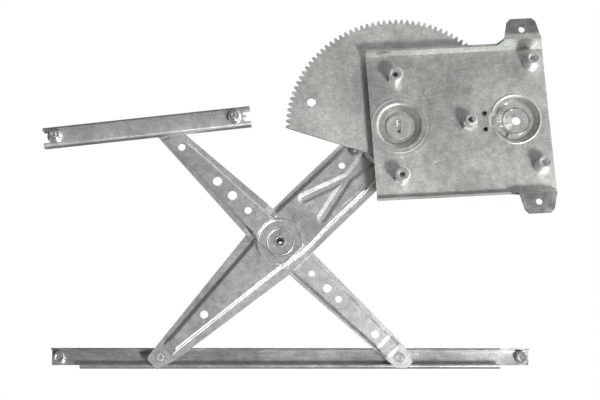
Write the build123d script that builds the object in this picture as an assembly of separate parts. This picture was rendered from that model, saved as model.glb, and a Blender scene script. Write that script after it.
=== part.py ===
"""Crossed-arm window regulator: base plate, sector gear, lift arm, equalizer and two rails.

Millimetres, +X to the right and +Z up as seen from the door panel, +Y towards the glass.
The origin is on the lift arm's pivot axis, in the plane where the plate meets the door panel.
The arms are drawn lying along X from their own pivot and then turned to the rest angle.
"""

import math
import os

from build123d import *

# Mechanism
half_arm = 150.0
rest_angle = 43.9
rail_tilt = 6.3
plate_tilt = 2.9

# Running and fitting clearances
bearing_clearance = 0.05
axial_gap = 0.3
roller_clearance = 0.3
rivet_clearance = 0.05
bolt_clearance = 0.3

# Base plate
plate_sheet = 2.0
standoff_height = 18.0
plate_left = 25.3
plate_right = 136.9
plate_half_height = 67.7
plate_lean = 1.4
flange_height = 8.2
edge_draft = 5.0
tab_centre_x = 116.8
tab_half_width = 17.0
tab_end_half_width = 13.2
tab_reach = 17.0
tab_corner = 3.4
tab_hole_reach = 6.7
tab_hole_radius = 2.9
locating_hole_radius = 2.2
locating_hole_x = 78.4
locating_hole_z = 7.4
dimple_radius = 4.8
dimple_height = 0.4
dimple_places = [(29.2, 29.6), (28.8, -31.0), (-17.0, -45.2)]

# Recess of the pivot hub
cup_depth = 6.5
cup_floor_radius = 15.1
cup_mouth_radius = 19.4
cup_roll = 4.0
cup_pad_radius = 28.3
cup_pad_height = 0.3

# Recess round the pinion
dish_floor_radius = 17.4
dish_mouth_radius = 21.0
dish_roll = 3.0
dish_shift_x = -1.2
dish_shift_z = 0.8
plateau_radius = 11.4
plateau_depth = 4.5
pinion_bore_radius = 4.0
tongue_end = 22.3
tongue_end_half_width = 4.4
tongue_root = 11.5
tongue_root_half_width = 12.6
tongue_draft = 38.0
relief_slots = [(16.2, 20.4, 105.0, 125.0), (13.0, 17.5, 207.0, 243.0)]

# Gear
gear_module = 1.72
sector_teeth = 118
pinion_teeth = 7
first_tooth_angle = 179.2
sector_span = 192.0
addendum = 1.0
dedendum = 1.25
tip_share = 0.10
root_share = 0.40
sector_sheet = 3.0
sector_hub_radius = 30.5
sector_hole_radius = 4.2
sector_hole_x = -79.6
sector_hole_z = 24.4

# Standoffs
thread_radius = 2.5
spigot_radius = 3.9
door_hex = 11.0
door_collar_radius = 6.8
door_collar_height = 2.4
door_places = [(-1.8, 44.1), (-1.1, -48.3)]
motor_hex = 12.4
motor_neck_radius = 4.9
motor_neck_height = 5.5
motor_hex_chamfer = 2.0
motor_hex_place = (63.4, -1.2)
cone_base_radius = 8.0
cone_top_radius = 5.7
cone_rim = 2.0
cone_places = [(124.1, 53.0), (126.6, -43.4)]

# Pivot hub
hub_radius = 8.0
hub_head_radius = 11.3
hub_head_height = 2.2
hub_tail_radius = 7.0
slot_width = 4.2
slot_foot_width = 2.8
slot_top = 6.0
slot_foot = -3.2
slot_depth = 5.4
slot_foot_depth = 0.4
pocket_height = 2.6
tang_slot_width = 2.2
washer_sheet = 1.0
washer_radius = 14.0
bush_wall = 2.0
bush_flange_radius = 12.5
bush_flange = 0.8
retainer_sheet = 1.4
retainer_radius = 12.0
stake_height = 1.1

# Counterbalance spring
spring_strip = 1.6
spring_width = 4.8
spring_inner_radius = 9.7
spring_outer_radius = 26.5
spring_turns = 4
hook_lug_along = 43.4
hook_lug_across = -12.6
hook_radius = 2.7
hook_tail = 3.0
lug_size = 2.6
tang_depth = 6.0

# Sheet metal arms
arm_sheet = 2.0
spring_room = 7.2
lift_depth = 6.5
lift_crank = 3.5
lift_crank_length = 12.0
arm_draft = 12.0
arm_bend = 2.4
disc_clearance = 3.4
equalizer_depth = 5.0
equalizer_crank = 4.0
rear_arm_depth = 6.0

# Lift arm outline, along and across from the pivot
root_radius = 48.0
root_web_radius = 42.5
root_blend = 8.0
lift_edge_upper = -27.7
lift_edge_lower = 26.3
lift_web_upper = -21.9
lift_web_lower = 20.0
lift_shoulder_behind_pivot = 15.0
lift_waist_before_pivot = 7.0
lift_waist_behind_pivot = 19.0
lift_waist_upper = -15.9
lift_waist_lower = 15.5
lift_web_end_to_pin = 8.0
lift_web_end_upper = -3.6
lift_web_end_lower = 4.2
lift_ramp_length = 7.5
lift_flank_to_pin = 67.0
lift_flank_lower = 18.0
lift_cheek_to_pin = 10.0
lift_cheek_lower = 11.5
lift_tip_corner = 6.6
lift_tip_upper = -8.5
lift_nose_upper = -6.9
lift_nose_lower = 6.0
lift_overhang = 10.0
sector_rivet_ring = 34.0
sector_rivet_angles = [10.0, 65.0, 120.0]
sector_rivet_radius = 3.5
sector_rivet_shoulder = 5.0
sector_rivet_head = 5.8
sector_rivet_head_height = 1.6
arm_hole_radius = 3.1
arm_hole_along = 60.1
arm_hole_across = -12.1
lift_end_hole_radius = 3.7
lift_end_hole_to_pin = 54.8
lift_end_hole_across = -0.3
groove_depth = 2.6
groove_draft = 52.0
groove_floor_half_width = 1.8
groove_fork = 64.0
groove_end_to_crank = 6.3
groove_end_across = [-14.5, 10.5]
groove_stem_start = 38.0
groove_stem_half_width = 5.4
groove_back_growth = 0.9
bead_width = 2.2
bead_height = 0.5
bead_length = 38.0
bead_along = 71.0
bead_across = 14.6

# Equalizer front arm outline, from the cross pivot towards the guide rail
front_disc_radius = 21.6
front_disc_flat = -17.0
front_pivot_web = 13.2
front_root_half_width = 17.6
front_tip_half_width = 9.0
front_overhang = 9.0
front_web_root_left = 13.3
front_web_root_right = -11.5
front_web_tip_left = 5.8
front_web_tip_right = -6.8
front_web_end_to_pin = 9.0
front_step_start = 2.0
front_step_length = 8.0
front_holes = [(40.7, 3.4), (60.7, 4.3), (79.7, 4.3)]
front_end_hole_to_pin = 24.5
front_end_hole_radius = 3.4

# Equalizer rear arm outline, from the cross pivot towards the lift rail
rear_disc_radius = 19.0
rear_disc_web = 14.0
rear_root_half_width = 15.8
rear_tip_half_width = 10.0
rear_web_root = 11.9
rear_web_tip = 7.9
rear_web_end_to_pin = 9.0
rear_ramp_length = 9.0
rear_overhang = 11.5
rear_holes = [(39.8, 2.95), (59.4, 4.0), (73.8, 3.2)]
rear_end_hole_to_pin = 30.1
rear_end_hole_radius = 3.85

# Cross pivot
cross_hub_radius = 7.0
cross_spigot_radius = 3.3
cross_bore_radius = 2.05
cross_bush_wall = 2.2
cross_bush_flange_radius = 12.0
cross_bush_flange = 1.2
spigot_proud = 0.4

# Staking marks round the cross pivot
stake_inner_radius = 5.2
stake_outer_radius = 13.4
stake_depth = 0.5
stake_spread = 90.0
stake_angles = [20.0, 140.0, 260.0]

# Rollers and their pins
roller_width = 5.2
roller_rim = 1.0
pin_radius = 4.0
pin_head_radius = 5.0
pin_head_height = 0.4
pin_dimple_radius = 3.5
pin_dimple_depth = 2.0
pin_shoulder_radius = 5.6
pin_end_radius = 5.6
pin_end_height = 1.0

# Rails
rail_sheet = 1.5
rail_half_width = 9.3
rail_depth = 11.0
rail_bend = 2.4
rail_lip = 3.3
arm_to_rail_gap = 1.4
lift_rail_left = 290.6
lift_rail_right = 92.2
lift_tab_length = 26.8
lift_tab_bottom = -5.9
rail_bolt_inset = 20.1
flange_to_bend = 0.1
guide_rail_left = 107.4
guide_rail_right = 81.5
guide_notch_half_height = 5.3
guide_notch_depth = 6.8
guide_notch_corner = 2.5
guide_nib_length = 2.6
guide_nib_height = 1.8
guide_stud_left = 96.7
guide_stud_right = 66.4
sector_to_guide_gap = 1.4
roller_to_lip = 0.5

# Fasteners of the rails
bolt_radius = 3.0
bolt_shoulder_radius = 3.2
bolt_hex = 10.0
bolt_flange_radius = 6.0
nut_flange_radius = 6.8
bolt_flange_height = 1.5
bolt_head_height = 5.6
bolt_length = 14.0
stud_head_radius = 5.2
stud_head_height = 1.0
nut_height = 6.2
stud_length = 9.6

# Places worked out from the sizes above
pivot_x = -half_arm * math.cos(math.radians(rest_angle))
pivot_z = -half_arm * math.sin(math.radians(rest_angle))
lift_direction = 180.0 + rest_angle
front_direction = 180.0 - rest_angle
rear_direction = -rest_angle
guide_x = 2 * pivot_x
lift_rail_z = 2 * pivot_z
lift_length = 2 * half_arm
lift_crank_end = half_arm - front_disc_radius - disc_clearance
lift_crank_start = lift_crank_end - lift_crank_length
lift_bolt_rise = rail_half_width - rail_bend - flange_to_bend - bolt_flange_radius
pitch_radius = gear_module * sector_teeth / 2
gear_centres = gear_module * (sector_teeth + pinion_teeth) / 2

# Levels from the door panel backwards
plate_front = standoff_height
plate_back = plate_front + plate_sheet
cup_floor = plate_front + cup_depth
cup_back = plate_back + cup_depth
washer_back = cup_back + washer_sheet
sector_front = washer_back + axial_gap / 2
sector_back = sector_front + sector_sheet
lift_front = sector_back + spring_room
lift_web_back = lift_front + arm_sheet
cross_front = lift_front + lift_crank
cross_back = cross_front + lift_depth
front_pivot_back = cross_front - axial_gap
front_pivot_front = front_pivot_back - equalizer_depth
front_arm_front = front_pivot_front - equalizer_crank
rear_arm_front = cross_back + axial_gap
rear_arm_back = rear_arm_front + rear_arm_depth
lift_rail_front = rear_arm_back + arm_to_rail_gap
lift_rail_back = lift_rail_front + rail_depth
guide_rail_back = sector_front - sector_to_guide_gap
guide_rail_front = guide_rail_back - rail_depth
roller_radius = rail_half_width - rail_sheet - roller_clearance


def slab(face, front, back, taper=0.0):
    """A face in the XZ plane as a plate from front to back, wider at the back by the taper."""
    return extrude(Plane.XZ.offset(-back) * face, back - front, taper=taper)


def drafted(face, front, back):
    """A face in the XZ plane at the front that grows towards the back by the arms' draft."""
    spread = (back - front) * math.tan(math.radians(arm_draft))
    return slab(offset(face, spread, kind=Kind.INTERSECTION), front, back, arm_draft)


def rod(radius, front, back, x=0.0, z=0.0):
    """A round bar along Y."""
    return slab(Pos(x, z) * Circle(radius), front, back)


def ring(outer, inner, front, back, x=0.0, z=0.0):
    return rod(outer, front, back, x, z) - rod(inner, front, back, x, z)


def hexagon(across_flats, front, back, x=0.0, z=0.0):
    outline = RegularPolygon(across_flats / 2, 6, major_radius=False)
    return slab(Pos(x, z) * outline, front, back)


def rounded(points, radius):
    """A closed outline with every corner rounded alike."""
    return make_face(FilletPolyline(*points, radius=radius, close=True))


def turned(profile):
    """A closed profile of (radius, y) points turned about the Y axis."""
    half = Plane.XY * make_face(Polyline(*profile, close=True))
    return revolve(half, Axis.Y)


def lengthwise(levels, front_offset, back_offset, reach=80.0):
    """The space between two offsets of a cranked line of (along, y) levels, across the arm."""
    near = [(along, level + front_offset) for along, level in levels]
    far = [(along, level + back_offset) for along, level in reversed(levels)]
    return extrude(Plane.XY * make_face(Polyline(*near, *far, close=True)), reach, both=True)


def bent_edges(block, flattest=0.9):
    """The edges between a block's front faces and its side walls."""
    seen = {}
    for face in block.faces():
        if face.normal_at().Y < -flattest:
            for edge in face.edges():
                middle = edge.center()
                place = (round(middle.X, 3), round(middle.Y, 3), round(middle.Z, 3))
                seen.setdefault(place, []).append(edge)
    return [edges[0] for edges in seen.values() if len(edges) == 1]


def pressing(web, edge, levels, depth, ramp_end, ramp_length, sheet=arm_sheet):
    """A stamped arm: a raised web with sloping sides, a ramp at its end and a flat edge all round."""
    back = max(level for along, level in levels) + depth
    front = min(level for along, level in levels)
    drop = depth - sheet
    last = levels[-1][1]
    crest = levels[:-1] + [
        (ramp_end - ramp_length, last),
        (ramp_end, last + drop),
        (ramp_end + ramp_length, last + 2 * drop),
    ]
    block = drafted(web, front, back) & lengthwise(levels, 0, depth)
    block = fillet(bent_edges(block), arm_bend) & lengthwise(crest, 0, 3 * depth)
    rim = slab(edge, front - depth, back) & lengthwise(levels, drop, depth)
    hollow_outline = offset(web, -sheet, kind=Kind.INTERSECTION)
    hollow = drafted(hollow_outline, front, back) & lengthwise(levels, sheet, depth)
    hollow &= lengthwise(crest, sheet, 3 * depth)
    return block + rim - hollow


def root_blended(web):
    """A web outline with its inward corners at the root disc rounded."""
    corners = [v for v in web.vertices() if 0 < v.X < root_radius + root_blend and abs(v.Y) > rear_web_tip]
    return fillet(corners, root_blend)


def along_arm(solid, direction, x=0.0, z=0.0):
    """A solid drawn along X, turned to a direction in the XZ plane and moved to its pivot."""
    return Pos(x, 0, z) * Rot(0, -direction, 0) * solid


def on_plate(solid):
    return Rot(0, -plate_tilt, 0) * solid


def lean(z):
    """Sideways lean of the plate's two side edges at a height."""
    return -plate_lean * z / plate_half_height


def polar(radius, angle):
    turn = math.radians(angle)
    return (radius * math.cos(turn), radius * math.sin(turn))


# Base plate

def edge_section(side):
    """The bent edge of the plate and its run up to the tab, as a strip along X."""
    foot = plate_half_height
    top = foot + edge_draft
    inner_foot = foot - plate_sheet
    section = [
        (plate_back, side * (foot - plate_sheet * 0.2)),
        (0, side * top),
        (0, side * (top - plate_sheet)),
        (plate_front, side * inner_foot),
        (plate_back, side * inner_foot),
    ]
    wall = extrude(Plane.YZ * make_face(Polyline(*section, close=True)), plate_right + plate_lean, both=True)
    left_top = tab_centre_x + lean(side * top) - tab_half_width
    low = plate_front - flange_height
    reach = plate_right + plate_lean
    keep = [
        (-plate_left + lean(side * foot), plate_back),
        (-plate_left + lean(side * foot), low),
        (left_top - 5.5, low),
        (left_top, plate_sheet),
        (left_top, 0),
        (left_top + 2 * tab_half_width, 0),
        (left_top + 2 * tab_half_width + 3.0, plate_back),
    ]
    shape = extrude(Plane.XY * make_face(Polyline(*keep, close=True)), reach, both=True)
    return wall & shape


def fixing_tab(side):
    foot = plate_half_height + edge_draft - plate_sheet
    centre = tab_centre_x + lean(side * foot)
    end = foot + plate_sheet + tab_reach
    end_centre = tab_centre_x + lean(side * end)
    corners = [
        (centre - tab_half_width, side * foot),
        (end_centre - tab_end_half_width, side * (end - tab_corner)),
        (end_centre - tab_end_half_width + tab_corner, side * end),
        (end_centre + tab_end_half_width - tab_corner, side * end),
        (end_centre + tab_end_half_width, side * (end - tab_corner)),
        (centre + tab_half_width, side * foot),
    ]
    tab = slab(make_face(Polyline(*corners, close=True)), 0, plate_sheet)
    hole_z = side * (foot + plate_sheet + tab_hole_reach)
    return tab - rod(tab_hole_radius, -1, plate_sheet + 1, tab_centre_x + lean(hole_z), hole_z)


def cup_back_form(floor_radius, mouth_radius):
    """What a round recess adds behind the plate: a truncated cone, one sheet wider than the recess."""
    slope = (mouth_radius - floor_radius) / cup_depth
    wide = mouth_radius + plate_sheet * math.hypot(1, slope)
    narrow = wide - slope * (cup_back - plate_front)
    return turned([(0, plate_front), (wide, plate_front), (narrow, cup_back), (0, cup_back)])


def cup_front_form(floor_radius, mouth_radius, front, roll):
    """What a round recess takes from the plate: a cone whose mouth is rolled over to the face."""
    depth = cup_floor - front
    lean_angle = math.atan2(mouth_radius - floor_radius, depth)
    turn = math.pi / 2 - lean_angle
    run = roll * math.tan(turn / 2)
    centre = (mouth_radius + run, front + roll)
    middle = (centre[0] - roll * math.sin(turn / 2), centre[1] - roll * math.cos(turn / 2))
    foot = (centre[0] - roll * math.sin(turn), centre[1] - roll * math.cos(turn))
    return revolve(Plane.XY * make_face([
        Line((0, front), (centre[0], front)),
        ThreePointArc((centre[0], front), middle, foot),
        Line(foot, (floor_radius, cup_floor)),
        Line((floor_radius, cup_floor), (0, cup_floor)),
        Line((0, cup_floor), (0, front)),
    ]), Axis.Y)


def tongue_outline(growth=0.0):
    """The tapered tongue between the plate and the pinion's plateau, seen from the pinion."""
    corners = [
        (-tongue_end - growth, tongue_end_half_width + growth),
        (-tongue_end - growth, -tongue_end_half_width - growth),
        (-tongue_root, -tongue_root_half_width - growth),
        (-tongue_root, tongue_root_half_width + growth),
    ]
    return make_face(Polyline(*corners, close=True))


def plateau_outline(growth=0.0):
    """The plateau's own edge inside the groove: a disc and the wedge that runs into the tongue."""
    wedge = [
        (0, 0),
        (-tongue_root, -tongue_root_half_width - growth),
        (-tongue_end, -tongue_end_half_width - growth),
        (-tongue_end, tongue_end_half_width + growth),
        (-tongue_root, tongue_root_half_width + growth),
    ]
    return make_face(Polyline(*wedge, close=True)) + Circle(plateau_radius + growth)


def pinion_recess_back():
    """What the recess round the pinion adds behind the plate."""
    level = plate_front + plateau_depth
    dish = cup_back_form(dish_floor_radius, dish_mouth_radius)
    back = Pos(dish_shift_x, 0, dish_shift_z) * dish
    back += slab(tongue_outline(plate_sheet), plate_front, level + plate_sheet, -tongue_draft)
    return back - slab(plateau_outline(-plate_sheet), level + plate_sheet, cup_back + 1)


def pinion_recess_front():
    """What the recess round the pinion takes from the plate."""
    level = plate_front + plateau_depth
    dish = cup_front_form(dish_floor_radius, dish_mouth_radius, plate_front, dish_roll)
    front = Pos(dish_shift_x, 0, dish_shift_z) * dish
    front -= slab(plateau_outline(), level, cup_floor + 1)
    front += slab(tongue_outline(), plate_front, level, -tongue_draft)
    for inner, outer, start, end in relief_slots:
        slot = slab(fan(inner, outer, start, end), plate_front + 1, cup_back + 1)
        front += Pos(dish_shift_x, 0, dish_shift_z) * slot
    return front + rod(pinion_bore_radius, plate_front, cup_back + 1)


def fan(inner_radius, outer_radius, start, end):
    """A piece of a ring between two angles."""
    middle = (start + end) / 2
    return make_face([
        ThreePointArc(polar(outer_radius, start), polar(outer_radius, middle), polar(outer_radius, end)),
        Line(polar(outer_radius, end), polar(inner_radius, end)),
        ThreePointArc(polar(inner_radius, end), polar(inner_radius, middle), polar(inner_radius, start)),
        Line(polar(inner_radius, start), polar(outer_radius, start)),
    ])


def base_plate():
    top = plate_half_height
    corners = [
        (-plate_left + lean(top), top),
        (plate_right + lean(top), top),
        (plate_right + lean(-top), -top),
        (-plate_left + lean(-top), -top),
    ]
    outline = make_face(Polyline(*corners, close=True))
    panel = slab(outline, plate_front, plate_back)
    panel += slab(outline & Circle(cup_pad_radius), plate_front - cup_pad_height, plate_front)
    for side in (1, -1):
        panel += edge_section(side)
        panel += fixing_tab(side)
    pinion = Pos(gear_centres, 0, 0)
    panel += cup_back_form(cup_floor_radius, cup_mouth_radius)
    panel += pinion * pinion_recess_back()
    panel -= cup_front_form(cup_floor_radius, cup_mouth_radius, plate_front - cup_pad_height, cup_roll)
    panel -= rod(hub_radius + rivet_clearance, plate_front, cup_back + 1)
    panel -= pinion * pinion_recess_front()
    for x, z in dimple_places:
        panel += rod(dimple_radius, plate_front - dimple_height, plate_front, x, z)
    for side in (1, -1):
        panel -= rod(locating_hole_radius, plate_front - 1, plate_back + 1, locating_hole_x, side * locating_hole_z)
    for x, z in door_places + [motor_hex_place] + cone_places:
        panel -= rod(spigot_radius + rivet_clearance, plate_front - 1, plate_back + 1, x, z)
    return on_plate(panel)


# Standoffs

def standoff_core(body, x, z):
    """Adds the spigot that is staked in the plate, and the threaded bore."""
    spigot = rod(spigot_radius, plate_front, plate_back, x, z)
    return on_plate(body + spigot - rod(thread_radius, -1, plate_back + 1, x, z))


def door_standoff(x, z):
    body = hexagon(door_hex, door_collar_height, plate_front, x, z)
    return standoff_core(body + rod(door_collar_radius, 0, door_collar_height, x, z), x, z)


def motor_hex_standoff(x, z):
    hex_front = motor_neck_height
    body = hexagon(motor_hex, hex_front, plate_front, x, z)
    body &= Pos(x, 0, z) * turned([
        (0, hex_front),
        (motor_neck_radius, hex_front),
        (motor_neck_radius + 2 * motor_hex_chamfer, hex_front + 2 * motor_hex_chamfer),
        (motor_neck_radius + 2 * motor_hex_chamfer, plate_front),
        (0, plate_front),
    ])
    return standoff_core(body + rod(motor_neck_radius, 0, hex_front, x, z), x, z)


def motor_cone_standoff(x, z):
    profile = [
        (0, 0),
        (cone_top_radius, 0),
        (cone_top_radius, cone_rim),
        (cone_base_radius, plate_front - cone_rim),
        (cone_base_radius, plate_front),
        (0, plate_front),
    ]
    return standoff_core(Pos(x, 0, z) * turned(profile), x, z)


# Pivot hub and bearings

def pivot_hub():
    tail_front = lift_web_back + axial_gap / 2
    tail_back = tail_front + retainer_sheet + stake_height
    hub = rod(hub_head_radius, cup_floor - hub_head_height, cup_floor)
    hub += rod(hub_radius, cup_floor, tail_front)
    hub += rod(hub_tail_radius, tail_front, tail_back)
    hub += rod(hub_radius, tail_back - stake_height, tail_back)
    opening = Pos(0, hub_radius / 2) * Rectangle(tang_slot_width, hub_radius)
    return hub - head_slot() - slab(opening, sector_back, tail_back + 1)


def head_slot():
    """The tapered slot in the hub's head: its floor slopes out to the foot, above a small deep pocket."""
    head_front = cup_floor - hub_head_height
    outline = make_face(Polyline(
        (-slot_width / 2, slot_top),
        (slot_width / 2, slot_top),
        (slot_foot_width / 2, slot_foot - pocket_height),
        (-slot_foot_width / 2, slot_foot - pocket_height),
        close=True))
    section = make_face(Polyline(
        (head_front - 1, slot_top),
        (head_front + slot_depth, slot_top),
        (head_front + slot_foot_depth, slot_foot),
        (head_front + slot_depth, slot_foot),
        (head_front + slot_depth, slot_foot - pocket_height),
        (head_front - 1, slot_foot - pocket_height),
        close=True))
    depths = extrude(Plane.YZ * section, slot_width, both=True)
    return slab(outline, head_front - 1, head_front + slot_depth + 1) & depths


def flanged_bush(inner, front, back, flange_front, flange_back):
    sleeve = rod(inner + bush_wall, front, back)
    collar = rod(bush_flange_radius, flange_front, flange_back)
    return sleeve + collar - rod(inner, front - 1, back + 1)


def counterbalance_spring():
    """A flat spiral: its tang sits in the hub's slot and its hook goes round the arm's lug."""
    lug_x, lug_z = lug_centre()
    reach = math.hypot(lug_x, lug_z)
    lug_angle = math.degrees(math.atan2(lug_z, lug_x)) % 360
    lug_side = math.degrees(math.acos((spring_outer_radius + hook_radius) / reach))
    last_angle = lug_angle - lug_side + 360 * spring_turns
    first_angle = 90.0
    growth = (spring_outer_radius - spring_inner_radius) / (2 * spring_turns)
    half = spring_strip / 2

    def coils(shift):
        """One edge of the strip: half circles about two centres in turn."""
        arcs = []
        for half_turn in range(2 * spring_turns + 1):
            radius = spring_inner_radius + growth * half_turn + shift
            start = first_angle + 180 * half_turn
            end = min(start + 180, last_angle)
            centre = Pos(0, growth * (half_turn % 2))
            arcs.append(centre * ThreePointArc(
                polar(radius, start), polar(radius, (start + end) / 2), polar(radius, end)))
        return arcs

    outer = coils(half)
    inner = coils(-half)
    away = polar(1, last_angle)
    run = (-away[1], away[0])
    run_length = math.sqrt(reach ** 2 - (spring_outer_radius + hook_radius) ** 2)

    def spot(sideways, forward):
        base = polar(spring_outer_radius + sideways, last_angle)
        return (base[0] + run[0] * forward, base[1] + run[1] * forward)

    far = 2 * hook_radius
    tail = run_length - hook_tail
    strip = make_face([
        *outer,
        Line(outer[-1] @ 1, spot(half, run_length)),
        ThreePointArc(spot(half, run_length), spot(hook_radius, run_length + hook_radius - half),
                      spot(far - half, run_length)),
        Line(spot(far - half, run_length), spot(far - half, tail)),
        Line(spot(far - half, tail), spot(far + half, tail)),
        Line(spot(far + half, tail), spot(far + half, run_length)),
        ThreePointArc(spot(far + half, run_length), spot(hook_radius, run_length + hook_radius + half),
                      spot(-half, run_length)),
        Line(spot(-half, run_length), inner[-1] @ 1),
        *inner,
        Line(inner[0] @ 0, outer[0] @ 0),
    ])
    tang_height = spring_inner_radius + half - (hub_radius - tang_depth)
    tang = Pos(0, spring_inner_radius + half - tang_height / 2) * Rectangle(spring_strip, tang_height)
    middle = (sector_back + lift_front) / 2
    front = middle - spring_width / 2
    return slab(strip, front, front + spring_width) + slab(tang, front, front + spring_width)


def lug_centre():
    turn = math.radians(lift_direction)
    x = hook_lug_along * math.cos(turn) - hook_lug_across * math.sin(turn)
    z = hook_lug_along * math.sin(turn) + hook_lug_across * math.cos(turn)
    return x, z


# Sector gear

def sector_gear():
    pitch = 360.0 / sector_teeth
    tip_radius = pitch_radius + addendum * gear_module
    root_radius_gear = pitch_radius - dedendum * gear_module
    count = int(sector_span / pitch)
    points = []
    for i in range(count):
        centre = first_tooth_angle - i * pitch
        points.append(polar(root_radius_gear, centre + root_share * pitch))
        points.append(polar(tip_radius, centre + tip_share * pitch))
        points.append(polar(tip_radius, centre - tip_share * pitch))
        points.append(polar(root_radius_gear, centre - root_share * pitch))
    toothed = make_face(Polyline(*points, (0, 0), close=True))
    start = points[0]
    end = points[-1]
    sides = make_hull([Line((0, 0), start), Circle(sector_hub_radius).edge()])
    sides += make_hull([Line((0, 0), end), Circle(sector_hub_radius).edge()])
    body = slab(toothed + sides, sector_front, sector_back)
    body -= rod(hub_radius + bearing_clearance + bush_wall, sector_front - 1, sector_back + 1)
    body -= rod(sector_hole_radius, sector_front - 1, sector_back + 1, sector_hole_x, sector_hole_z)
    for angle in sector_rivet_angles:
        x, z = polar(sector_rivet_ring, angle)
        body -= rod(sector_rivet_radius + rivet_clearance, sector_front - 1, sector_back + 1, x, z)
    return body


def sector_rivet(angle):
    x, z = polar(sector_rivet_ring, angle)
    rivet = rod(sector_rivet_radius, sector_front, lift_web_back, x, z)
    rivet += rod(sector_rivet_shoulder, sector_back, lift_front, x, z)
    rivet += rod(sector_rivet_head, sector_front - sector_rivet_head_height, sector_front, x, z)
    rivet += rod(sector_rivet_head, lift_web_back, lift_web_back + sector_rivet_head_height, x, z)
    return rivet


# Arms

def groove(front, growth=0.0):
    """The Y-shaped groove of the lift arm with sloping walls: a stem that parts into two branches."""
    half = groove_floor_half_width + growth
    floor = front + groove_depth
    stem = make_face(Polyline(
        (groove_stem_start, -groove_stem_half_width - growth),
        (groove_fork, -half),
        (groove_fork, half),
        (groove_stem_start, groove_stem_half_width + growth),
        close=True))
    body = slab(stem, front, floor, -groove_draft)
    along = lift_crank_start - groove_end_to_crank
    for across in groove_end_across:
        length = math.hypot(along - groove_fork, across)
        turn = math.degrees(math.atan2(across, along - groove_fork))
        branch = Pos(groove_fork, 0) * Rot(0, 0, turn) * Pos(length / 2, 0) * SlotCenterToCenter(length, 2 * half)
        body += slab(branch, front, floor, -groove_draft)
    return body


def lift_arm():
    beyond = lift_length + 2 * lift_overhang
    levels = [(-80, lift_front), (lift_crank_start, lift_front), (lift_crank_end, cross_front), (beyond, cross_front)]
    shoulder = half_arm + lift_shoulder_behind_pivot
    waist_start = half_arm - lift_waist_before_pivot
    waist_end = half_arm + lift_waist_behind_pivot
    web_end = lift_length - lift_web_end_to_pin
    edge = rounded([
        (0, lift_edge_upper),
        (shoulder, lift_edge_upper),
        (lift_length + lift_tip_corner, lift_tip_upper),
        (lift_length + lift_overhang, lift_nose_upper),
        (lift_length + lift_overhang, lift_nose_lower),
        (lift_length - lift_cheek_to_pin, lift_cheek_lower),
        (lift_length - lift_flank_to_pin, lift_flank_lower),
        (shoulder, lift_edge_lower),
        (0, lift_edge_lower),
    ], 1.6) + Circle(root_radius)
    web = rounded([
        (0, lift_web_upper),
        (waist_start, lift_web_upper),
        (waist_end, lift_waist_upper),
        (web_end, lift_web_end_upper),
        (web_end, lift_web_end_lower),
        (waist_end, lift_waist_lower),
        (waist_start, lift_web_lower),
        (0, lift_web_lower),
    ], 3.0) + Circle(root_web_radius)
    arm = pressing(root_blended(web), edge, levels, lift_depth, web_end, lift_ramp_length)
    arm += groove(lift_web_back, groove_back_growth)
    arm -= groove(lift_front)
    bead = Pos(bead_along, bead_across) * Rot(0, 0, -2) * SlotCenterToCenter(bead_length, bead_width)
    arm += slab(bead, lift_front - bead_height, lift_front)
    arm -= rod(arm_hole_radius, lift_front - 1, lift_web_back + 3, arm_hole_along, arm_hole_across)
    end_hole = lift_length - lift_end_hole_to_pin
    arm -= rod(lift_end_hole_radius, cross_front - 1, cross_back + 1, end_hole, lift_end_hole_across)
    arm -= rod(hub_radius + bearing_clearance + bush_wall, lift_front - 1, lift_web_back + 1)
    cross_bore = cross_hub_radius + bearing_clearance + cross_bush_wall
    arm -= rod(cross_bore, cross_front - 1, cross_back + 1, half_arm)
    arm -= rod(pin_radius + rivet_clearance, cross_front, cross_back + 1, lift_length)
    arm += slab(Pos(hook_lug_along, hook_lug_across) * Rectangle(lug_size, lug_size),
                sector_back + axial_gap, lift_front)
    arm = along_arm(arm, lift_direction)
    for angle in sector_rivet_angles:
        x, z = polar(sector_rivet_ring, angle)
        arm -= rod(sector_rivet_radius + rivet_clearance, lift_front - 1, lift_web_back + 1, x, z)
    return arm


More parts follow.
